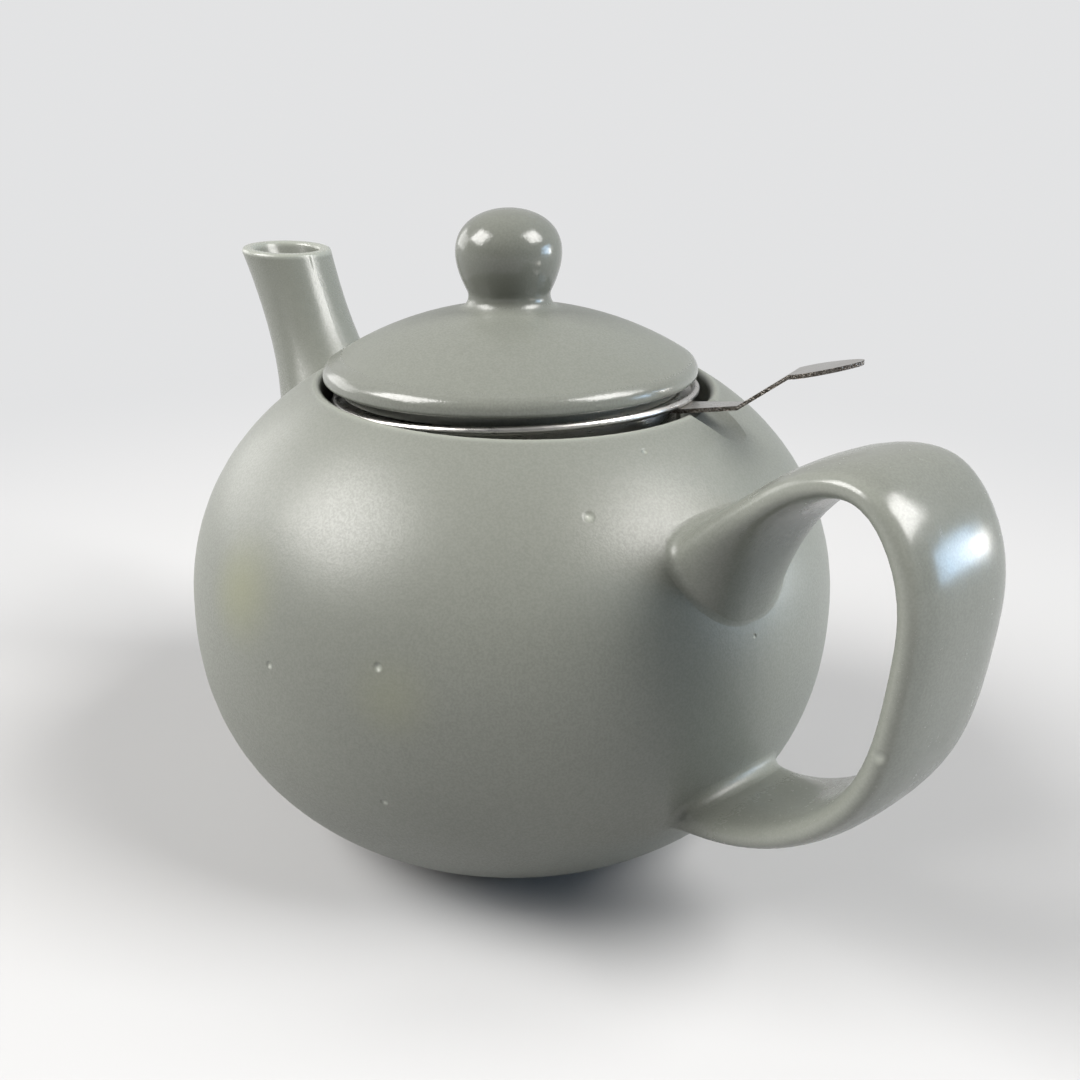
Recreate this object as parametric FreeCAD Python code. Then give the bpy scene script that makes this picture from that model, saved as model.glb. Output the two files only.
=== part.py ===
import FreeCAD, Part
import math
import os

# A slip-cast ceramic teapot with a domed lid and a steel infuser basket, in millimetres.
# The origin is under the middle of its whole length, +Z is up, the handle points along +X and the
# spout along -X. Every piece is drawn about the pot's own axis and set at that axis at the end.

axis_offset = -1.9

# Pot body: a round belly whose upper and lower halves are superellipses that meet at the equator
body_radius = 63.0
equator_height = 47.0
shoulder_rise = 51.3
shoulder_power = 2.13
belly_cutoff = 4.5
belly_power = 2.3
body_wall = 4.0
floor_thickness = 5.0

# Foot: a low unglazed ring under the belly
foot_height = 1.6
foot_inset = 2.3
foot_ring_width = 5.0
foot_recess = 1.2

# Mouth: a straight bore with a ledge that carries the basket rim
mouth_radius = 36.7
lip_round = 1.1
ledge_depth = 6.7
gallery_thickness = 4.0

# Spout: a tapered tube on a straight slanting axis, cut level at the tip
spout_overhang = 20.4
spout_rise = 56.2
spout_slope = 62.0
spout_length = 54.0
spout_embed = 3.74
spout_lip_radius = 10.0
spout_neck_radius = 9.5
spout_neck_distance = 10.0
spout_root_radius = 16.3
spout_end_radius = 12.0
spout_wall = 2.7
spout_lip_round = 0.9
spout_blend = 5.0

# Handle: a broad thin strap that leaves the shoulder, turns over and comes back low on the belly.
# Its middle line is given as distances out from the belly and up from the equator.
strap_width = 25.0
strap_thickness = 6.2
strap_power = 2.5
root_top = (-21.0, 13.0)
root_top_rise = (5.5, 39.4)
strap_top = (23.0, 45.5)
strap_turn = (30.6, 36.6)
strap_back = (32.1, 20.5)
strap_bend = (28.6, 1.5)
strap_under = (17.0, -12.8)
root_low = (-8.0, -21.0)
root_flare = 2.0
root_keel = 19.5
root_keel_power = 1.3
root_length = 44.0
root_low_flare = 2.0
root_low_length = 14.0
root_blend = 2.0

# Basket: a steel rim, a collar, a fine-mesh wall, a bottom band and a mesh floor
rim_clearance = 1.65
rim_width = 4.35
bead_radius = 0.75
flange_height = 0.6
collar_clearance = 1.0
collar_depth = 9.0
sheet = 0.4
mesh_thickness = 0.5
basket_depth = 54.0
bottom_band_height = 5.0
bottom_band_lip = 2.0
raised_side = -4.4
basket_tilt = 5.08
rest_gap = 0.05

# Tab: a bent strip under the rim, ending in a rounded paddle that lies in a notch of the lip
tab_angle = 22.2
tab_width = 8.4
tab_waist = 3.8
tab_neck = 7.2
tab_thickness = 0.8
tab_first_run = 9.65
tab_first_slope = 5.3
tab_second_run = 11.3
tab_second_slope = 33.8
paddle_length = 12.0
paddle_slope = 11.9
paddle_width = 9.0
notch_width = 14.0
notch_slope = 21.0
notch_clearance = 0.3

# Lid: a shallow dome with a rounded rim, a locating flange and a ball knob on a short neck
lid_clearance = 1.2
lid_foot_clearance = 0.3
lid_rim_lift = 2.0
lid_rim_thickness = 2.6
lid_dome_rise = 10.7
lid_wall = 4.2
lid_edge_round = 2.6
lid_under_round = 0.9
lid_flange_depth = 6.0
lid_flange_wall = 3.0
lid_flange_clearance = 1.6
lid_shift = 0.75
lid_side_shift = 0.5
lid_lean = 2.2
knob_radius = 9.92
knob_height = 24.8
knob_upper_rise = 7.9
knob_lower_drop = 15.0
knob_foot_radius = 6.0
knob_neck_blend = 2.4

AXIS = FreeCAD.Vector(0, 0, 1)
ORIGIN = FreeCAD.Vector(0, 0, 0)


def point(r, z):
    return FreeCAD.Vector(r, 0, z)


def line(start, end):
    return Part.LineSegment(point(*start), point(*end)).toShape()


def arc(start, through, end):
    return Part.Arc(point(*start), point(*through), point(*end)).toShape()


def smooth(points):
    curve = Part.BSplineCurve()
    curve.interpolate([point(r, z) for r, z in points])
    return curve.toShape()


def turned(edges):
    """Solid of revolution about Z from a closed outline in the XZ plane."""
    face = Part.Face(Part.Wire(edges))
    return face.revolve(ORIGIN, AXIS, 360)


def polygon_edges(points):
    return [line(a, b) for a, b in zip(points, points[1:])]


def half_profile(inset, end_height, rise, power):
    """Superellipse points from the equator to a given height above or below it."""
    radius = body_radius - inset
    reach = abs(rise) - inset
    share = abs(end_height - equator_height) / reach
    last = math.asin(share ** (power / 2))
    sign = math.copysign(1, rise)
    steps = 8
    points = []
    for i in range(steps + 1):
        t = last * i / steps
        r = radius * math.cos(t) ** (2 / power)
        z = equator_height + sign * reach * math.sin(t) ** (2 / power)
        points.append((r, z))
    return points


def belly_curve(inset, low, high):
    """Points of the pot wall from height low, over the equator, to height high."""
    lower = half_profile(inset, low, -equator_height - belly_cutoff, belly_power)
    upper = half_profile(inset, high, shoulder_rise, shoulder_power)
    return lower[::-1] + upper[1:]


def shoulder_height(radius, inset=0.0):
    """Height of the shoulder where it has the given radius."""
    share = (radius / (body_radius - inset)) ** shoulder_power
    return equator_height + (shoulder_rise - inset) * (1 - share) ** (1 / shoulder_power)


mouth_height = shoulder_height(mouth_radius)
ledge_height = mouth_height - ledge_depth
rim_radius = mouth_radius - rim_clearance
collar_radius = rim_radius - rim_width
throat_radius = collar_radius + collar_clearance
mesh_radius = collar_radius - sheet
lid_radius = mouth_radius - lid_clearance
spout_reach = body_radius + spout_overhang
spout_tip_height = equator_height + spout_rise


def pot_outside():
    wall = belly_curve(0.0, foot_height, mouth_height)
    foot_radius = wall[0][0] - foot_inset
    recess_radius = foot_radius - foot_ring_width
    edges = [smooth(wall)]
    edges += polygon_edges([wall[-1], (0, mouth_height), (0, foot_recess), (recess_radius, foot_recess),
                            (recess_radius, 0), (foot_radius, 0), (foot_radius, foot_height), wall[0]])
    return turned(edges)


def pot_cavity():
    """The water space, its throat and the bore above the ledge."""
    ceiling = ledge_height - gallery_thickness
    wall = belly_curve(body_wall, floor_thickness, ceiling)
    edges = [smooth(wall)]
    edges += polygon_edges([wall[-1], (throat_radius, ceiling), (throat_radius, ledge_height),
                            (mouth_radius, ledge_height), (mouth_radius, mouth_height + lip_round),
                            (0, mouth_height + lip_round), (0, floor_thickness), wall[0]])
    return turned(edges)


def spout_tube(inset):
    """The spout about its own slanting axis, or its passage when inset by the wall."""
    slope = math.radians(spout_slope)
    top = spout_lip_radius / math.tan(slope) + spout_wall
    middle = (spout_neck_distance + spout_length) / 2
    bottom = (spout_overhang + spout_end_radius * math.sin(slope) + spout_embed) / math.cos(slope)
    waist = spout_neck_radius + (spout_root_radius - spout_neck_radius) / 4
    outline = [(spout_lip_radius - inset + spout_lip_round, top), (spout_lip_radius - inset, 0),
               (spout_neck_radius - inset, -spout_neck_distance), (waist - inset, -middle),
               (spout_root_radius - inset, -spout_length), (spout_end_radius - inset, -bottom)]
    edges = [smooth(outline)]
    edges += polygon_edges([outline[-1], (0, -bottom), (0, top), outline[0]])
    tube = turned(edges)
    tube.rotate(ORIGIN, FreeCAD.Vector(0, 1, 0), spout_slope - 90)
    tube.translate(FreeCAD.Vector(-spout_reach, 0, spout_tip_height))
    return tube


def above(height):
    size = 4 * body_radius
    return Part.makeBox(size, size, size, FreeCAD.Vector(-size / 2, -size / 2, height))


def strap_path():
    stations = [root_top, root_top_rise, strap_top, strap_turn,
                strap_back, strap_bend, strap_under, root_low]
    curve = Part.BSplineCurve()
    curve.interpolate([point(body_radius + out, equator_height + up) for out, up in stations])
    return curve


def strap_section(centre, across, outward, half_width, half, keel):
    """A closed flat oval, deepened on its inner side into a soft keel."""
    count = 20
    points = []
    for i in range(count):
        c = math.cos(2 * math.pi * i / count)
        s = math.sin(2 * math.pi * i / count)
        x = math.copysign(abs(c) ** (2 / strap_power), c) * half_width
        y = math.copysign(abs(s) ** (2 / strap_power), s) * half
        if s < 0:
            y -= keel * abs(s) ** root_keel_power
        points.append(centre + across * x + outward * y)
    curve = Part.BSplineCurve()
    curve.interpolate(points, PeriodicFlag=True)
    return Part.Wire(curve.toShape())


def fade(distance, length):
    """One at the root, falling smoothly to zero at the given length."""
    share = max(0.0, 1 - distance / length)
    return share * share


def strap_solid():
    path = strap_path()
    total = path.length()
    across = FreeCAD.Vector(0, 1, 0)
    sections = []
    count = 16
    for i in range(count + 1):
        travelled = total * i / count
        u = path.parameterAtDistance(travelled, path.FirstParameter)
        outward = path.tangent(u)[0].cross(across)
        top = fade(travelled, root_length)
        flare = root_flare * top + root_low_flare * fade(total - travelled, root_low_length)
        half_width = strap_width / 2 + flare
        half = strap_thickness / 2 + flare
        sections.append(strap_section(path.value(u), across, outward, half_width, half, root_keel * top))
    return Part.makeLoft(sections, True, False)


def basket_place(shape):
    """Set a shape of the basket's own frame on the ledge, with its +X side raised and turned round."""
    low_side = point(bead_radius - rim_radius, 0)
    placed = shape.copy()
    placed.rotate(low_side, FreeCAD.Vector(0, 1, 0), -basket_tilt)
    placed.rotate(ORIGIN, AXIS, raised_side)
    placed.translate(FreeCAD.Vector(0, 0, ledge_height + rest_gap))
    return placed


def tab_place(shape):
    """Turn a shape of the tab's own frame to the tab's side of the basket."""
    placed = shape.copy()
    placed.rotate(ORIGIN, AXIS, tab_angle - raised_side)
    return basket_place(placed)


def basket_rim():
    """A collar under a flat flange whose outer edge is rolled into a bead."""
    inner = collar_radius - sheet
    bead_middle = rim_radius - bead_radius
    fall = flange_height - bead_radius
    meeting = (bead_middle - math.sqrt(bead_radius ** 2 - fall ** 2), flange_height)
    top = (bead_middle, 2 * bead_radius)
    turn = bead_radius * math.sqrt(0.5)
    edges = polygon_edges([(inner, flange_height), (inner, -collar_depth), (collar_radius, -collar_depth),
                           (collar_radius, 0), (bead_middle, 0)])
    edges.append(arc((bead_middle, 0), (rim_radius, bead_radius), top))
    edges.append(arc(top, (bead_middle - turn, bead_radius + turn), meeting))
    edges.append(line(meeting, (inner, flange_height)))
    return turned(edges)


def tube_between(outer, inner, low, high):
    height = high - low
    bore = Part.makeCylinder(inner, height, point(0, low))
    return Part.makeCylinder(outer, height, point(0, low)).cut(bore)


def basket_wall():
    return tube_between(mesh_radius, mesh_radius - mesh_thickness, -basket_depth, -sheet)


def basket_bottom_band():
    low = -basket_depth - sheet
    outer = mesh_radius + sheet
    band = tube_between(outer, mesh_radius, low + sheet, low + bottom_band_height)
    lip = tube_between(outer, mesh_radius - bottom_band_lip, low, low + sheet)
    return band.fuse(lip).removeSplitter()


def basket_floor():
    return Part.makeCylinder(mesh_radius - mesh_thickness, mesh_thickness, point(0, -basket_depth))


def tab_outline():
    """Centre line of the strip's underside, as points along its run from the collar."""
    points = [(collar_radius, -tab_thickness), (rim_radius, -tab_thickness)]
    runs = [(tab_first_run, tab_first_slope), (tab_second_run, tab_second_slope),
            (paddle_length, paddle_slope)]
    for run, slope in runs:
        r, z = points[-1]
        points.append((r + run * math.cos(math.radians(slope)), z + run * math.sin(math.radians(slope))))
    return points


def basket_tab():
    under = tab_outline()
    edges = polygon_edges(under + [(r, z + tab_thickness) for r, z in under[::-1]] + [under[0]])
    side = Part.Face(Part.Wire(edges))
    side.translate(FreeCAD.Vector(0, -paddle_width, 0))
    strip = side.extrude(FreeCAD.Vector(0, 2 * paddle_width, 0))
    plan = tab_plan(under[0][0], under[2][0], under[3][0], under[4][0])
    return strip.common(plan.extrude(FreeCAD.Vector(0, 0, 2 * body_radius)))


def tab_plan(root, bend, neck, tip):
    """The strip's outline from above: waisted at its first bend, then a rounded paddle."""
    low = -body_radius
    side = [FreeCAD.Vector(root, tab_width / 2, low), FreeCAD.Vector(bend, tab_waist / 2, low),
            FreeCAD.Vector(neck, tab_neck / 2, low)]
    other = [FreeCAD.Vector(p.x, -p.y, low) for p in side[::-1]]
    belly = (neck + tip) / 2
    nose = Part.BSplineCurve()
    nose.interpolate([side[-1], FreeCAD.Vector(belly, paddle_width / 2, low), FreeCAD.Vector(tip, 0, low),
                      FreeCAD.Vector(belly, -paddle_width / 2, low), other[0]])
    edges = [Part.LineSegment(a, b).toShape() for a, b in zip(side, side[1:])]
    edges.append(nose.toShape())
    edges += [Part.LineSegment(a, b).toShape() for a, b in zip(other, other[1:] + side[:1])]
    return Part.Face(Part.Wire(edges))


def tab_notch():
    """A valley with soft flanks through the lip, just under the tab's two edges."""
    under = tab_place(Part.Vertex(point(mouth_radius, -tab_thickness))).Point
    half = notch_width / 2
    share = flank(tab_width / 2 / half)
    floor = (under.z - notch_clearance - share * mouth_height) / (1 - share)
    depth = mouth_height - floor
    steps = 10
    points = []
    for i in range(steps + 1):
        across = 2 * i / steps - 1
        fall = (half * across) ** 2 / (2 * mouth_radius) * math.tan(math.radians(notch_slope))
        points.append(FreeCAD.Vector(0, half * across, depth * flank(across) - fall))
    valley = Part.BSplineCurve()
    valley.interpolate(points)
    top = FreeCAD.Vector(0, 0, 2 * depth)
    corners = [points[-1], points[-1] + top, points[0] + top, points[0]]
    edges = [valley.toShape()] + [Part.LineSegment(a, b).toShape() for a, b in zip(corners, corners[1:])]
    channel = Part.Face(Part.Wire(edges)).extrude(FreeCAD.Vector(mouth_radius, 0, 0))
    channel.translate(FreeCAD.Vector(throat_radius - mouth_radius, 0, 0))
    channel.rotate(ORIGIN, FreeCAD.Vector(0, 1, 0), notch_slope)
    channel.translate(FreeCAD.Vector(mouth_radius, 0, floor))
    channel.rotate(ORIGIN, AXIS, tab_angle)
    return channel


def flank(across):
    """Height of the notch's side, from zero at its middle to one at its edge."""
    return (1 - math.cos(math.pi * across ** 2)) / 2


def on_pot_wall(edge):
    """Whether an edge runs on the belly on the spout's side."""
    box = edge.BoundBox
    return -body_radius <= box.XMin and box.XMax < -mouth_radius


def on_spout_tip(edge):
    box = edge.BoundBox
    return abs(box.ZMin - spout_tip_height) < 0.01 and abs(box.ZMax - spout_tip_height) < 0.01


def on_handle_root(edge):
    """Whether an edge runs where the strap meets the belly, and not along the strap's seam."""
    box = edge.BoundBox
    inside = math.hypot(box.XMax, box.YMax) < body_radius + 0.5
    return inside and box.XMin > mouth_radius and box.ZMin > foot_height and box.YLength > strap_thickness


def teapot_body():
    spout = spout_tube(0.0).cut(above(spout_tip_height))
    pot = pot_outside().fuse(spout)
    pot = pot.makeFillet(spout_blend, [e for e in pot.Edges if on_pot_wall(e)])
    pot = pot.fuse(strap_solid())
    pot = pot.makeFillet(root_blend, [e for e in pot.Edges if on_handle_root(e)])
    pot = pot.cut(pot_cavity())
    pot = pot.cut(spout_tube(spout_wall))
    pot = pot.makeFillet(spout_lip_round, [e for e in pot.Edges if on_spout_tip(e)])
    pot = pot.makeFillet(lip_round, [e for e in pot.Edges if is_circle(e, mouth_radius, mouth_height)])
    return pot.cut(tab_notch())


def lid():
    seat = flange_height + rest_gap
    low = seat + lid_rim_lift
    edge = low + lid_rim_thickness
    dome_radius = (lid_radius ** 2 + lid_dome_rise ** 2) / (2 * lid_dome_rise)
    dome_centre = edge + lid_dome_rise - dome_radius
    flange = mesh_radius - mesh_thickness - lid_flange_clearance
    foot = rim_radius - 2 * bead_radius - math.hypot(lid_shift, lid_side_shift) - lid_foot_clearance
    tip = seat - lid_flange_depth
    inner = flange - lid_flange_wall

    def dome(radius, wall=0.0):
        return radius, dome_centre + math.sqrt((dome_radius - wall) ** 2 - radius ** 2)

    edges = [arc(dome(0), dome(lid_radius / 2), (lid_radius, edge))]
    edges += polygon_edges([(lid_radius, edge), (lid_radius, low), (foot, low), (foot, seat),
                            (flange, seat), (flange, tip), (inner, tip), dome(inner, lid_wall)])
    edges.append(arc(dome(inner, lid_wall), dome(inner / 2, lid_wall), dome(0, lid_wall)))
    edges.append(line(dome(0, lid_wall), dome(0)))
    cover = turned(edges)
    rounds = [(lid_radius, edge, lid_edge_round), (lid_radius, low, lid_under_round),
              (flange, tip, lid_under_round), (inner, tip, lid_under_round)]
    for radius, height, size in rounds:
        cover = cover.makeFillet(size, [e for e in cover.Edges if is_circle(e, radius, height)])
    widest = seat + knob_height
    cover = cover.fuse(lid_knob(widest, dome(0)[1] - lid_wall / 2))
    neck = [e for e in cover.Edges if is_neck(e, dome(knob_radius)[1], widest)]
    cover = cover.makeFillet(knob_neck_blend, neck)
    cover.translate(FreeCAD.Vector(-lid_shift, -lid_side_shift, 0))
    cover.rotate(point(foot - lid_shift, seat), FreeCAD.Vector(0, 1, 0), lid_lean)
    return cover


def lid_knob(widest, root):
    """An egg, blunt end up, on a straight foot that ends inside the dome."""
    half = (knob_upper_rise + knob_lower_drop) / 2
    middle = widest + (knob_upper_rise - knob_lower_drop) / 2
    lift = (knob_lower_drop - knob_upper_rise) / (2 * half)
    lean = lift / (1 - 2 * lift ** 2)
    swell = knob_radius / (math.sqrt(1 - lift ** 2) * (1 + lean * lift))

    def egg(angle):
        return swell * math.sin(angle) * (1 + lean * math.cos(angle)), middle + half * math.cos(angle)

    low, high = math.pi / 2, math.pi
    for _ in range(40):
        last = (low + high) / 2
        if egg(last)[0] > knob_foot_radius:
            low = last
        else:
            high = last
    steps = 14
    points = [egg(last * i / steps) for i in range(steps + 1)]
    curve = Part.BSplineCurve()
    end = (point(*egg(last)) - point(*egg(last - math.pi / 200))).normalize()
    curve.interpolate(Points=[point(*p) for p in points], InitialTangent=point(1, 0), FinalTangent=end)
    edges = [curve.toShape()]
    edges += polygon_edges([points[-1], (knob_foot_radius, root), (0, root), points[0]])
    return turned(edges)


def is_neck(edge, low, high):
    box = edge.BoundBox
    level = box.ZLength < 0.01 and box.XLength > knob_foot_radius
    return level and box.ZMin > low and box.ZMax < high - 1


def is_circle(edge, radius, height):
    box = edge.BoundBox
    level = abs(box.ZMin - height) < 0.01 and abs(box.ZMax - height) < 0.01
    return level and abs(box.XMax - radius) < 0.01


def build():
    os.makedirs("parts", exist_ok=True)
    parts = {
        "teapot_body": teapot_body(),
        "lid": basket_place(lid()),
        "basket_rim": basket_place(basket_rim()),
        "basket_wall": basket_place(basket_wall()),
        "basket_bottom_band": basket_place(basket_bottom_band()),
        "basket_floor": basket_place(basket_floor()),
        "basket_tab": tab_place(basket_tab()),
    }
    for name, shape in parts.items():
        shape.translate(FreeCAD.Vector(axis_offset, 0, 0))
        shape.exportStep("parts/" + name + ".step")
        print(name, len(shape.Solids), shape.isValid(), round(shape.Volume, 1))


build()
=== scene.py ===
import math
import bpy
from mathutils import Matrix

bl_info = {
    "name": "Ceramic Teapot Finish",
    "version": (1, 0, 0),
    "blender": (4, 5, 0),
    "location": "View3D > Sidebar > Teapot",
    "description": "Glazes the teapot and its lid, finishes the steel basket and sets a plain studio",
    "category": "Object",
}

import bpy
from mathutils import Matrix, Vector

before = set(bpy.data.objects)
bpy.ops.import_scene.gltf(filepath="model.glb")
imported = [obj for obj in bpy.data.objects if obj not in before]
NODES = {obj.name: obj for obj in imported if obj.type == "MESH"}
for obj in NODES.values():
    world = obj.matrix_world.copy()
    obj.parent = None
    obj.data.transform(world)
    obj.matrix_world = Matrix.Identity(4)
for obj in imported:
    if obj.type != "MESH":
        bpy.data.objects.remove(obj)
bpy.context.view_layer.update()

# How far the pot's own axis stands from the frame's, along X
AXIS_PLACE = -0.0019
# Pinholes, bubbles and a nick in the glaze, in metres about the pot's axis: place and radius
GLAZE_PITS = (
    ((0.0444, -0.0227, 0.0800), 0.00120),
    ((0.0412, -0.0072, 0.0868), 0.00075),
    ((0.0304, -0.0538, 0.0581), 0.00095),
    ((0.0103, -0.0618, 0.0528), 0.00085),
    ((0.0304, -0.0535, 0.0329), 0.00085),
    ((0.0617, -0.0001, 0.0586), 0.00050),
    ((0.0701, -0.0028, 0.0320), 0.00050),
    ((0.0944, -0.0124, 0.0562), 0.00150),
)
# Where iron in the clay tints the glaze a little yellow: place, reach and strength
WARM_STAINS = (
    ((-0.0002, -0.0606, 0.0623), 0.013, 0.50),
    ((0.0328, -0.0533, 0.0531), 0.010, 0.25),
)


# Where the parts of the glazed body lie, in metres: each pair is the two ends of a soft step
HANDLE_OUT = (0.061, 0.070)
SPOUT_OUT = (-0.0600, -0.0680)
STRAP_EDGE = (0.0095, 0.0128)
LIP_RADIUS = (0.0392, 0.0374)
LIP_HEIGHT = (0.0880, 0.0893)
SPOUT_LIP_HEIGHT = (0.1018, 0.1028)
FOOT_HEIGHT = (0.0011, 0.0007)
FOOT_RADIUS = (0.0345, 0.0340)
# The same for the lid
LID_RIM_RADIUS = (0.0315, 0.0345)
LID_EDGE_RADIUS = (0.0335, 0.0352)
LID_EDGE_HEIGHT = (0.0885, 0.0905)
KNOB_HEIGHT = (0.1025, 0.1060)
# Heights over which the knob is painted darker, most at its lower part: pooled glaze and painted shade
KNOB_POOL_AND_SHADE_HEIGHT = (0.1060, 0.1170)
GLAZE_IOR = 1.52
# How deep each kind of relief is, in metres
GRAIN_DEPTH = 0.000005
LID_GRAIN_DEPTH = 0.000007
BLOTCH_DEPTH = 0.000010
CLOUD_DEPTH = 0.00010
LID_CLOUD_DEPTH = 0.00008
PIT_DEPTH = 0.00034
TAB_LINE_DEPTH = 0.000006
RIM_LINE_DEPTH = 0.000005
BURR_DEPTH = 0.00007
WIRE_DEPTH = 0.00008
# Near-black painted shade in the holes of the wire mesh, where the shaded inside would show through
WIRE_HOLE_SHADE_COLOUR = (0.03, 0.03, 0.03)
WIRE_ROUGHNESS = 0.34
# Soft lamps: name, setting that holds the power, direction from the pot, width, height and colour
LAMPS = (
    ("lamp_left", "left_lamp", (-0.42, -0.66, 0.62), 1.5, 1.3, (1.0, 0.985, 0.96)),
    ("lamp_side", "side_lamp", (-0.93, -0.22, 0.20), 1.6, 1.0, (1.0, 0.99, 0.97)),
    ("lamp_right", "right_lamp", (0.60, 0.38, 0.70), 1.3, 1.2, (1.0, 0.985, 0.96)),
    ("lamp_window", "window_lamp", (0.66, 0.75, 0.11), 0.80, 0.60, (0.50, 0.73, 1.0)),
    ("lamp_warm", "warm_lamp", (0.50, 0.86, 0.04), 0.34, 0.40, (1.0, 0.97, 0.91)),
)
LAMP_AIM = (0.0, 0.0, 0.06)
LAMP_DISTANCE = 2.4
AIR_COLOUR = (0.95, 0.97, 1.0, 1.0)
# Share of the backdrop that a reflection shows, and of its light that the floor throws back
REFLECTED_SHARE = 0.75
THROWN_BACK = 0.7
# The room behind the viewer is darker in reflections: its direction, its share, and the soft step to it
DARK_SIDE = (0.70, -0.61, 0.35)
DARK_SHARE = 0.15
DARK_STEP = (0.0, 0.9)
# The floor's paint melts into the backdrop between these distances from the pot, in metres
FLOOR_MELT = (0.10, 0.36)
FLOOR_ROUGHNESS = 0.9
FLOOR_SPECULAR = 0.1


class TeapotGlazeSettings(bpy.types.PropertyGroup):
    body_colour: bpy.props.FloatVectorProperty(
        name="Body colour", description="Main sage grey of the glaze", subtype="COLOR",
        size=3, min=0, max=1, default=(0.200, 0.209, 0.184))
    # Also used for the painted highlights along the strap's edges and on the glaze pits
    pale_colour: bpy.props.FloatVectorProperty(
        name="Pale colour", description="Glaze where it runs thin over an edge", subtype="COLOR",
        size=3, min=0, max=1, default=(0.42, 0.44, 0.39))
    # Also used for the painted shade on the knob's lower part
    deep_colour: bpy.props.FloatVectorProperty(
        name="Deep colour", description="Glaze where it pools", subtype="COLOR",
        size=3, min=0, max=1, default=(0.118, 0.124, 0.106))
    stain_colour: bpy.props.FloatVectorProperty(
        name="Stain colour", description="Faint yellow of the stained patches", subtype="COLOR",
        size=3, min=0, max=1, default=(0.250, 0.255, 0.150))
    bisque_colour: bpy.props.FloatVectorProperty(
        name="Bisque colour", description="Bare fired clay of the foot ring", subtype="COLOR",
        size=3, min=0, max=1, default=(0.62, 0.56, 0.47))
    belly_roughness: bpy.props.FloatProperty(
        name="Belly roughness", description="How matt the belly is", min=0, max=1, default=0.36)
    handle_roughness: bpy.props.FloatProperty(
        name="Handle roughness", description="How matt the handle is", min=0, max=1, default=0.14)
    lid_roughness: bpy.props.FloatProperty(
        name="Lid roughness", description="How matt the lid is", min=0, max=1, default=0.34)
    grain_size: bpy.props.FloatProperty(
        name="Grain size", description="Width of one grain of the glaze", unit="LENGTH", default=0.0004)


class TeapotSteelSettings(bpy.types.PropertyGroup):
    steel_colour: bpy.props.FloatVectorProperty(
        name="Steel colour", description="Colour of the bare steel", subtype="COLOR",
        size=3, min=0, max=1, default=(0.60, 0.585, 0.56))
    dull_colour: bpy.props.FloatVectorProperty(
        name="Dull colour", description="Steel where it is smeared and handled", subtype="COLOR",
        size=3, min=0, max=1, default=(0.36, 0.345, 0.325))
    sheared_colour: bpy.props.FloatVectorProperty(
        name="Sheared colour", description="Torn metal of the tab's cut edges", subtype="COLOR",
        size=3, min=0, max=1, default=(0.085, 0.070, 0.058))
    rim_roughness: bpy.props.FloatProperty(
        name="Rim roughness", description="How satin the basket rim is", min=0, max=1, default=0.22)
    tab_roughness: bpy.props.FloatProperty(
        name="Tab roughness", description="How satin the tab is", min=0, max=1, default=0.24)
    wire_pitch: bpy.props.FloatProperty(
        name="Wire pitch", description="Distance between the wires of the mesh", unit="LENGTH",
        default=0.0006)


class TeapotStageSettings(bpy.types.PropertyGroup):
    floor_colour: bpy.props.FloatVectorProperty(
        name="Floor colour", description="Colour of the plain floor", subtype="COLOR",
        size=3, min=0, max=1, default=(0.52, 0.52, 0.525))
    floor_size: bpy.props.FloatProperty(
        name="Floor size", description="Width of the floor", unit="LENGTH", default=12.0)
    camera_place: bpy.props.FloatVectorProperty(
        name="Camera place", description="Where the camera stands", subtype="TRANSLATION",
        size=3, default=(0.16894, -0.14642, 0.14909))
    camera_heading: bpy.props.FloatProperty(
        name="Camera heading", description="Turn of the view about the vertical", unit="ROTATION",
        default=math.radians(48.08))
    camera_pitch: bpy.props.FloatProperty(
        name="Camera pitch", description="How far the view looks down", unit="ROTATION",
        default=math.radians(22.49))
    camera_roll: bpy.props.FloatProperty(
        name="Camera roll", description="Tilt of the frame", unit="ROTATION", default=math.radians(1.26))
    camera_lens: bpy.props.FloatProperty(
        name="Lens", description="Focal length on a 36 mm frame", unit="CAMERA", default=40.2)
    sky_strength: bpy.props.FloatProperty(
        name="Sky strength", description="Level of the even light all round", min=0, default=0.09)
    left_lamp: bpy.props.FloatProperty(
        name="Left lamp", description="Power of the soft lamp on the left", unit="POWER", default=83.0)
    side_lamp: bpy.props.FloatProperty(
        name="Side lamp", description="Power of the low soft lamp far on the left", unit="POWER",
        default=14.0)
    right_lamp: bpy.props.FloatProperty(
        name="Right lamp", description="Power of the soft lamp on the right", unit="POWER", default=73.0)
    window_lamp: bpy.props.FloatProperty(
        name="Window lamp", description="Power of the low cool lamp beyond the handle", unit="POWER",
        default=16.0)
    warm_lamp: bpy.props.FloatProperty(
        name="Warm lamp", description="Power of the small warm lamp beside the cool one", unit="POWER",
        default=7.0)
    backdrop_colour: bpy.props.FloatVectorProperty(
        name="Backdrop colour", description="Even colour of the far floor and the air", subtype="COLOR",
        size=3, min=0, max=1, default=(0.765, 0.768, 0.775))


def deselect_all():
    for item in bpy.context.selected_objects:
        item.select_set(False)


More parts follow.
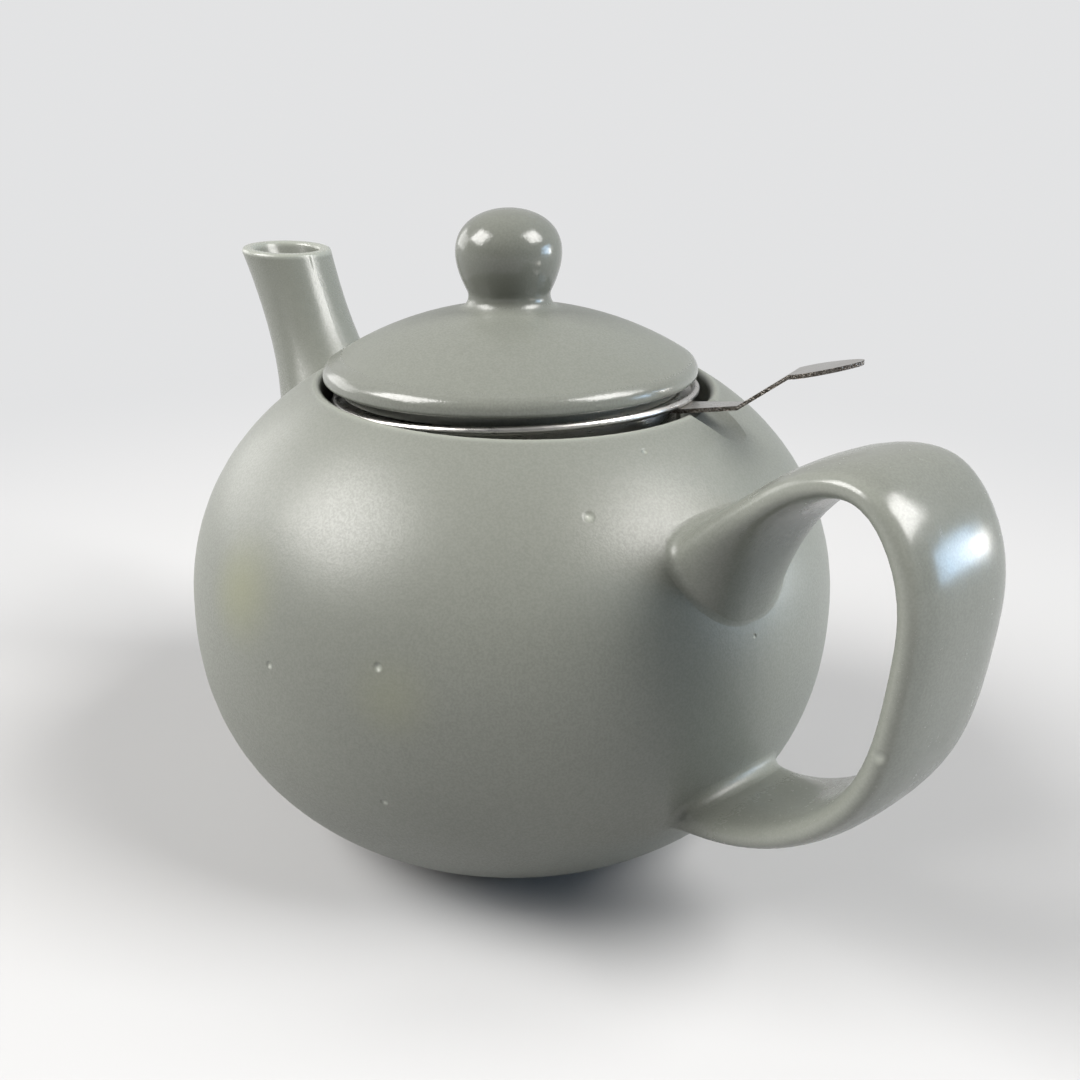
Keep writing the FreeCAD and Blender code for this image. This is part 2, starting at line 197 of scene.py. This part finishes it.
class NodeBoard:
    """Short calls for laying out one material's nodes."""

    def __init__(self, name):
        self.material = bpy.data.materials.new(name)
        self.material.use_nodes = True
        self.tree = self.material.node_tree
        self.tree.nodes.clear()
        self.shader = self.tree.nodes.new("ShaderNodeBsdfPrincipled")
        output = self.tree.nodes.new("ShaderNodeOutputMaterial")
        self.join(self.shader.outputs["BSDF"], output.inputs["Surface"])
        centring = self.tree.nodes.new("ShaderNodeMapping")
        centring.inputs["Location"].default_value = (-AXIS_PLACE, 0, 0)
        self.join(self.tree.nodes.new("ShaderNodeTexCoord").outputs["Object"], centring.inputs["Vector"])
        self.place = centring.outputs["Vector"]
        split = self.tree.nodes.new("ShaderNodeSeparateXYZ")
        self.join(self.place, split.inputs[0])
        self.x, self.y, self.z = split.outputs

    def join(self, source, target):
        self.tree.links.new(source, target)

    def feed(self, target, value):
        if isinstance(value, bpy.types.NodeSocket):
            self.join(value, target)
        else:
            target.default_value = value

    def calc(self, kind, *values, clamp=False):
        """One step of arithmetic on values or sockets."""
        node = self.tree.nodes.new("ShaderNodeMath")
        node.operation = kind
        node.use_clamp = clamp
        for socket, value in zip(node.inputs, values):
            self.feed(socket, value)
        return node.outputs[0]

    def ramp(self, value, low, high, to_low=0.0, to_high=1.0):
        """A soft step of value from low to high."""
        node = self.tree.nodes.new("ShaderNodeMapRange")
        node.interpolation_type = "SMOOTHSTEP"
        for name, setting in (("Value", value), ("From Min", low), ("From Max", high),
                              ("To Min", to_low), ("To Max", to_high)):
            self.feed(node.inputs[name], setting)
        return node.outputs["Result"]

    def noise(self, size, detail=2.0, stretch=None, contrast=0.5):
        """Cloudy pattern with features about size across, from 0 to 1."""
        place = self.place
        if stretch:
            mapping = self.tree.nodes.new("ShaderNodeMapping")
            mapping.inputs["Scale"].default_value = stretch
            self.join(place, mapping.inputs["Vector"])
            place = mapping.outputs["Vector"]
        node = self.tree.nodes.new("ShaderNodeTexNoise")
        self.join(place, node.inputs["Vector"])
        node.inputs["Scale"].default_value = 1.0 / size
        node.inputs["Detail"].default_value = detail
        return self.ramp(node.outputs["Fac"], 0.5 - contrast / 2, 0.5 + contrast / 2)

    def away(self, spot):
        """Distance from a spot."""
        node = self.tree.nodes.new("ShaderNodeVectorMath")
        node.operation = "DISTANCE"
        self.join(self.place, node.inputs[0])
        node.inputs[1].default_value = spot
        return node.outputs["Value"]

    def sheared_sides(self):
        """One on faces that stand upright, zero on faces that lie flat."""
        split = self.tree.nodes.new("ShaderNodeSeparateXYZ")
        self.join(self.tree.nodes.new("ShaderNodeNewGeometry").outputs["True Normal"], split.inputs[0])
        return self.ramp(self.calc("ABSOLUTE", split.outputs[2]), 0.35, 0.55, 1.0, 0.0)

    def blend(self, share, first, second):
        """One colour over another."""
        node = self.tree.nodes.new("ShaderNodeMix")
        node.data_type = "RGBA"
        self.feed(node.inputs["Factor"], share)
        for socket, value in ((node.inputs[6], first), (node.inputs[7], second)):
            if isinstance(value, bpy.types.NodeSocket):
                self.join(value, socket)
            else:
                socket.default_value = (*value, 1.0)
        return node.outputs[2]

    def relief(self, *layers):
        """Bumps laid one over another: each layer is a height from 0 to 1 and its depth in metres."""
        normal = None
        for height, depth in layers:
            node = self.tree.nodes.new("ShaderNodeBump")
            node.inputs["Strength"].default_value = 1.0
            node.inputs["Distance"].default_value = depth
            self.join(height, node.inputs["Height"])
            if normal:
                self.join(normal, node.inputs["Normal"])
            normal = node.outputs["Normal"]
        self.join(normal, self.shader.inputs["Normal"])


def dress(node_name, material):
    piece = NODES[node_name]
    piece.data.materials.clear()
    piece.data.materials.append(material)


def ring_distance(board):
    """Distance from the pot's axis."""
    along = board.calc("MULTIPLY", board.x, board.x)
    across = board.calc("MULTIPLY", board.y, board.y)
    return board.calc("SQRT", board.calc("ADD", along, across))


def glaze_tint(board, settings):
    """Fine grain, a faint cloud over it, and the colour that both give."""
    fine = board.noise(settings.grain_size, 2.0, contrast=0.35)
    mottle = board.noise(settings.grain_size * 4, 2.0, contrast=0.8)
    cloud = board.noise(0.05, 1.0, contrast=0.7)
    colour = board.blend(board.calc("MULTIPLY", fine, 0.34), settings.body_colour, settings.deep_colour)
    colour = board.blend(board.calc("MULTIPLY", mottle, 0.05), colour, settings.pale_colour)
    colour = board.blend(board.calc("MULTIPLY", cloud, 0.08), colour, settings.deep_colour)
    return fine, mottle, cloud, colour


class TEAPOT_OT_glaze_body(bpy.types.Operator):
    """Give the pot, its spout and its handle their satin glaze"""
    bl_idname = "teapot.glaze_body"
    bl_label = "Glaze the body"

    def execute(self, context):
        settings = context.scene.teapot_glaze
        board = NodeBoard("sage_glaze")
        fine, mottle, cloud, colour = glaze_tint(board, settings)
        radius = ring_distance(board)
        side = board.calc("ABSOLUTE", board.y)
        for spot, reach, strength in WARM_STAINS:
            stain = board.ramp(board.away(spot), 0.0, reach, strength, 0.0)
            colour = board.blend(stain, colour, settings.stain_colour)

        on_handle = board.ramp(board.x, *HANDLE_OUT)
        on_spout = board.ramp(board.x, *SPOUT_OUT)
        strap_edge = board.calc("MULTIPLY", board.ramp(side, *STRAP_EDGE), on_handle)
        on_lip = board.calc("MULTIPLY", board.ramp(radius, *LIP_RADIUS), board.ramp(board.z, *LIP_HEIGHT))
        on_spout_lip = board.ramp(board.z, *SPOUT_LIP_HEIGHT)
        # The strap's edges are painted pale: thin glaze over the edge and a painted highlight along it
        strap_thin_glaze_and_highlight = board.calc("MULTIPLY", strap_edge, 0.22)
        pale = board.calc("MAXIMUM", strap_thin_glaze_and_highlight, board.calc("MULTIPLY", on_lip, 0.6))
        pale = board.calc("MAXIMUM", pale, board.calc("MULTIPLY", on_spout_lip, 0.5))
        colour = board.blend(pale, colour, settings.pale_colour)

        dimples = 0.0
        for spot, size in GLAZE_PITS:
            dimple = board.ramp(board.away(spot), 0.0, size, 1.0, 0.0)
            dimples = board.calc("ADD", dimples, dimple)
        # Each pit is painted pale: a painted highlight for the light its rim catches
        colour = board.blend(board.calc("MULTIPLY", dimples, 0.75, clamp=True), colour, settings.pale_colour)

        bare = board.calc("MULTIPLY", board.ramp(board.z, *FOOT_HEIGHT), board.ramp(radius, *FOOT_RADIUS))
        colour = board.blend(bare, colour, settings.bisque_colour)
        board.join(colour, board.shader.inputs["Base Color"])

        satin = board.calc("ADD", settings.belly_roughness, board.calc("MULTIPLY", fine, 0.07))
        shine = board.calc("SUBTRACT", settings.belly_roughness, settings.handle_roughness)
        glossy = board.calc("MAXIMUM", on_handle, board.calc("MULTIPLY", on_spout, 0.6))
        roughness = board.calc("SUBTRACT", satin, board.calc("MULTIPLY", glossy, shine))
        streaks = board.noise(0.0011, 1.0, stretch=(1.0, 1.0, 0.07), contrast=0.8)
        streaked = board.calc("MULTIPLY", board.calc("MULTIPLY", streaks, on_handle), 0.08)
        roughness = board.calc("ADD", roughness, streaked)
        roughness = board.calc("MAXIMUM", roughness, board.calc("MULTIPLY", bare, 0.85))
        board.join(roughness, board.shader.inputs["Roughness"])
        board.shader.inputs["IOR"].default_value = GLAZE_IOR
        pitted = board.calc("SUBTRACT", 1.0, dimples)
        matt = board.calc("SUBTRACT", 1.0, board.calc("MULTIPLY", glossy, 0.9))
        grain = board.calc("MULTIPLY", fine, matt)
        blotch = board.calc("MULTIPLY", mottle, matt)
        board.relief((grain, GRAIN_DEPTH), (blotch, BLOTCH_DEPTH), (cloud, CLOUD_DEPTH), (pitted, PIT_DEPTH))
        dress("teapot_body", board.material)
        return {"FINISHED"}


class TEAPOT_OT_glaze_lid(bpy.types.Operator):
    """Give the lid and its knob their satin glaze, glossier on the rim and the knob"""
    bl_idname = "teapot.glaze_lid"
    bl_label = "Glaze the lid"

    def execute(self, context):
        settings = context.scene.teapot_glaze
        board = NodeBoard("sage_glaze_lid")
        fine, mottle, cloud, colour = glaze_tint(board, settings)
        radius = ring_distance(board)
        rim = board.ramp(radius, *LID_RIM_RADIUS)
        underside = board.ramp(board.z, *LID_EDGE_HEIGHT, 1.0, 0.0)
        edge = board.calc("MULTIPLY", board.ramp(radius, *LID_EDGE_RADIUS), underside)
        colour = board.blend(board.calc("MULTIPLY", edge, 0.40), colour, settings.pale_colour)
        knob = board.ramp(board.z, *KNOB_HEIGHT)
        # The knob is painted darker, most at its bottom: pooled glaze and painted shade under the knob
        pooled_glaze_and_shade = board.calc("MULTIPLY", knob, board.ramp(board.z, *KNOB_POOL_AND_SHADE_HEIGHT, 0.85, 0.35))
        colour = board.blend(pooled_glaze_and_shade, colour, settings.deep_colour)
        board.join(colour, board.shader.inputs["Base Color"])
        gloss = board.calc("MAXIMUM", board.calc("MULTIPLY", knob, 0.20), board.calc("MULTIPLY", rim, 0.20))
        satin = board.calc("ADD", settings.lid_roughness, board.calc("MULTIPLY", fine, 0.05))
        board.join(board.calc("SUBTRACT", satin, gloss), board.shader.inputs["Roughness"])
        board.shader.inputs["IOR"].default_value = GLAZE_IOR
        board.relief((fine, LID_GRAIN_DEPTH), (mottle, BLOTCH_DEPTH), (cloud, LID_CLOUD_DEPTH))
        dress("lid", board.material)
        return {"FINISHED"}


class TEAPOT_OT_finish_steel(bpy.types.Operator):
    """Give the basket's rim, tab and bottom band a satin steel with fine turning lines"""
    bl_idname = "teapot.finish_steel"
    bl_label = "Finish the steel"

    def execute(self, context):
        settings = context.scene.teapot_steel
        for node_name, roughness in (("basket_rim", settings.rim_roughness),
                                     ("basket_bottom_band", settings.rim_roughness),
                                     ("basket_tab", settings.tab_roughness)):
            board = NodeBoard("steel_" + node_name)
            smear = board.noise(0.006, 2.0)
            smeared = board.calc("MULTIPLY", smear, 0.35)
            colour = board.blend(smeared, settings.steel_colour, settings.dull_colour)
            varied = board.calc("ADD", roughness, board.calc("MULTIPLY", smear, 0.08))
            if node_name == "basket_tab":
                lines = board.noise(0.0005, 2.0, stretch=(0.35, 3.0, 1.0))
                burr = board.noise(0.00035, 2.0, contrast=0.3)
                sheared = board.sheared_sides()
                bright = board.calc("MULTIPLY", burr, 0.28)
                torn = board.blend(bright, settings.sheared_colour, settings.steel_colour)
                colour = board.blend(sheared, colour, torn)
                board.relief((lines, TAB_LINE_DEPTH), (board.calc("MULTIPLY", burr, sheared), BURR_DEPTH))
            else:
                lines = board.noise(0.0004, 1.0, stretch=(0.2, 0.2, 6.0))
                board.relief((lines, RIM_LINE_DEPTH))
            board.shader.inputs["Metallic"].default_value = 1.0
            board.join(colour, board.shader.inputs["Base Color"])
            lined = board.calc("ADD", varied, board.calc("MULTIPLY", lines, 0.10))
            board.join(lined, board.shader.inputs["Roughness"])
            dress(node_name, board.material)
        return {"FINISHED"}


class TEAPOT_OT_weave_mesh(bpy.types.Operator):
    """Give the basket's wall and floor the look of fine woven wire"""
    bl_idname = "teapot.weave_mesh"
    bl_label = "Weave the mesh"

    def execute(self, context):
        settings = context.scene.teapot_steel
        mesh_radius = NODES["basket_wall"].dimensions.y / 2
        for node_name in ("basket_wall", "basket_floor"):
            board = NodeBoard("wire_" + node_name)
            pitch = settings.wire_pitch
            if node_name == "basket_wall":
                turn = board.calc("ARCTAN2", board.y, board.x)
                first = board.calc("MULTIPLY", turn, mesh_radius * math.tau / pitch)
                second = board.calc("MULTIPLY", board.z, math.tau / pitch)
            else:
                first = board.calc("MULTIPLY", board.x, math.tau / pitch)
                second = board.calc("MULTIPLY", board.y, math.tau / pitch)
            wire_a = board.calc("ABSOLUTE", board.calc("SINE", first))
            wire_b = board.calc("ABSOLUTE", board.calc("SINE", second))
            wires = board.calc("MAXIMUM", wire_a, wire_b)
            board.shader.inputs["Metallic"].default_value = 1.0
            # The gaps between the wires are painted dark: painted shade for the shaded inside seen through
            # the mesh
            hole_shade = board.ramp(wires, 0.55, 0.75, 1.0, 0.0)
            colour = board.blend(hole_shade, settings.steel_colour, WIRE_HOLE_SHADE_COLOUR)
            board.join(colour, board.shader.inputs["Base Color"])
            board.shader.inputs["Roughness"].default_value = WIRE_ROUGHNESS
            board.relief((wires, WIRE_DEPTH))
            dress(node_name, board.material)
        return {"FINISHED"}


def soft_lamp(name, direction, width, height, power, colour):
    """A soft rectangle hung in a direction from the pot, facing it."""
    data = bpy.data.lights.new(name, "AREA")
    data.shape = "RECTANGLE"
    data.size = width
    data.size_y = height
    data.energy = power
    data.color = colour
    lamp = bpy.data.objects.new(name, data)
    bpy.context.scene.collection.objects.link(lamp)
    toward = Vector(direction).normalized()
    lamp.location = Vector(LAMP_AIM) + toward * LAMP_DISTANCE
    lamp.rotation_euler = toward.to_track_quat("Z", "Y").to_euler()
    lamp.visible_camera = False


def shown_share(tree, reflected=REFLECTED_SHARE):
    """One for rays that show the backdrop to the eye, and the reflected share for those in a reflection."""
    path = tree.nodes.new("ShaderNodeLightPath")
    share = tree.nodes.new("ShaderNodeMath")
    share.operation = "MULTIPLY_ADD"
    tree.links.new(path.outputs["Is Glossy Ray"], share.inputs[0])
    if isinstance(reflected, bpy.types.NodeSocket):
        tree.links.new(reflected, share.inputs[1])
    else:
        share.inputs[1].default_value = reflected
    tree.links.new(path.outputs["Is Camera Ray"], share.inputs[2])
    return share.outputs[0]


def paint_floor(floor, settings):
    """Matt paint near the pot, duller in the light it throws back, and the even backdrop further off."""
    board = NodeBoard("floor_paint")
    seen = shown_share(board.tree)
    dull = [THROWN_BACK * value for value in settings.floor_colour]
    board.join(board.blend(seen, dull, list(settings.floor_colour)), board.shader.inputs["Base Color"])
    board.shader.inputs["Roughness"].default_value = FLOOR_ROUGHNESS
    board.shader.inputs["Specular IOR Level"].default_value = FLOOR_SPECULAR
    even = board.tree.nodes.new("ShaderNodeEmission")
    even.inputs["Color"].default_value = (*settings.backdrop_colour, 1.0)
    mixer = board.tree.nodes.new("ShaderNodeMixShader")
    far = board.ramp(ring_distance(board), *FLOOR_MELT)
    board.join(board.calc("MULTIPLY", far, seen), mixer.inputs[0])
    board.join(board.shader.outputs[0], mixer.inputs[1])
    board.join(even.outputs[0], mixer.inputs[2])
    output = [node for node in board.tree.nodes if node.type == "OUTPUT_MATERIAL"][0]
    board.join(mixer.outputs[0], output.inputs["Surface"])
    floor.data.materials.append(board.material)


def fill_air(settings):
    """Even light all round, seen as the backdrop colour."""
    world = bpy.data.worlds.new("studio_air")
    world.use_nodes = True
    air = world.node_tree
    light = air.nodes["Background"]
    light.inputs["Color"].default_value = AIR_COLOUR
    light.inputs["Strength"].default_value = settings.sky_strength
    shown = air.nodes.new("ShaderNodeBackground")
    shown.inputs["Color"].default_value = (*settings.backdrop_colour, 1.0)
    toward = air.nodes.new("ShaderNodeVectorMath")
    toward.operation = "DOT_PRODUCT"
    air.links.new(air.nodes.new("ShaderNodeTexCoord").outputs["Generated"], toward.inputs[0])
    toward.inputs[1].default_value = DARK_SIDE
    fading = air.nodes.new("ShaderNodeMapRange")
    air.links.new(toward.outputs["Value"], fading.inputs["Value"])
    fading.inputs["From Min"].default_value = DARK_STEP[0]
    fading.inputs["From Max"].default_value = DARK_STEP[1]
    fading.inputs["To Min"].default_value = REFLECTED_SHARE
    fading.inputs["To Max"].default_value = DARK_SHARE
    mixer = air.nodes.new("ShaderNodeMixShader")
    air.links.new(shown_share(air, fading.outputs["Result"]), mixer.inputs[0])
    air.links.new(light.outputs[0], mixer.inputs[1])
    air.links.new(shown.outputs[0], mixer.inputs[2])
    air.links.new(mixer.outputs[0], air.nodes["World Output"].inputs["Surface"])
    bpy.context.scene.world = world


class TEAPOT_OT_set_stage(bpy.types.Operator):
    """Lay the floor, hang the soft lamps and stand the camera"""
    bl_idname = "teapot.set_stage"
    bl_label = "Set the stage"

    def execute(self, context):
        settings = context.scene.teapot_stage
        deselect_all()
        bpy.ops.mesh.primitive_plane_add(size=settings.floor_size, location=(0, 0, 0))
        floor = context.active_object
        floor.name = "floor"
        paint_floor(floor, settings)
        fill_air(settings)
        for name, power, direction, width, height, colour in LAMPS:
            soft_lamp(name, direction, width, height, getattr(settings, power), colour)

        data = bpy.data.cameras.new("camera")
        data.lens = settings.camera_lens
        data.sensor_width = 36.0
        data.clip_start = 0.01
        camera = bpy.data.objects.new("camera", data)
        context.scene.collection.objects.link(camera)
        turn = Matrix.Rotation(settings.camera_heading, 4, "Z")
        turn = turn @ Matrix.Rotation(math.pi / 2 - settings.camera_pitch, 4, "X")
        turn = turn @ Matrix.Rotation(settings.camera_roll, 4, "Z")
        camera.matrix_world = Matrix.Translation(settings.camera_place) @ turn
        context.scene.camera = camera
        context.scene.view_settings.view_transform = "Standard"
        return {"FINISHED"}


class VIEW3D_PT_teapot(bpy.types.Panel):
    bl_label = "Teapot"
    bl_idname = "VIEW3D_PT_teapot"
    bl_space_type = "VIEW_3D"
    bl_region_type = "UI"
    bl_category = "Teapot"

    def draw(self, context):
        for title, group, steps in PANEL_ROWS:
            box = self.layout.box()
            box.label(text=title)
            settings = getattr(context.scene, group)
            for name in settings.__annotations__:
                box.prop(settings, name)
            for step in steps:
                box.operator(step.bl_idname)


PANEL_ROWS = (
    ("Glaze", "teapot_glaze", (TEAPOT_OT_glaze_body, TEAPOT_OT_glaze_lid)),
    ("Steel", "teapot_steel", (TEAPOT_OT_finish_steel, TEAPOT_OT_weave_mesh)),
    ("Stage", "teapot_stage", (TEAPOT_OT_set_stage,)),
)
SETTINGS = {
    "teapot_glaze": TeapotGlazeSettings,
    "teapot_steel": TeapotSteelSettings,
    "teapot_stage": TeapotStageSettings,
}
STEPS = tuple(step for title, group, steps in PANEL_ROWS for step in steps)


def register():
    for name, group in SETTINGS.items():
        bpy.utils.register_class(group)
        setattr(bpy.types.Scene, name, bpy.props.PointerProperty(type=group))
    for step in STEPS:
        bpy.utils.register_class(step)
    bpy.utils.register_class(VIEW3D_PT_teapot)


def unregister():
    bpy.utils.unregister_class(VIEW3D_PT_teapot)
    for step in reversed(STEPS):
        bpy.utils.unregister_class(step)
    for name, group in SETTINGS.items():
        delattr(bpy.types.Scene, name)
        bpy.utils.unregister_class(group)


def main():
    register()
    bpy.ops.teapot.glaze_body()
    bpy.ops.teapot.glaze_lid()
    bpy.ops.teapot.finish_steel()
    bpy.ops.teapot.weave_mesh()
    bpy.ops.teapot.set_stage()


if __name__ == "__main__":
    main()
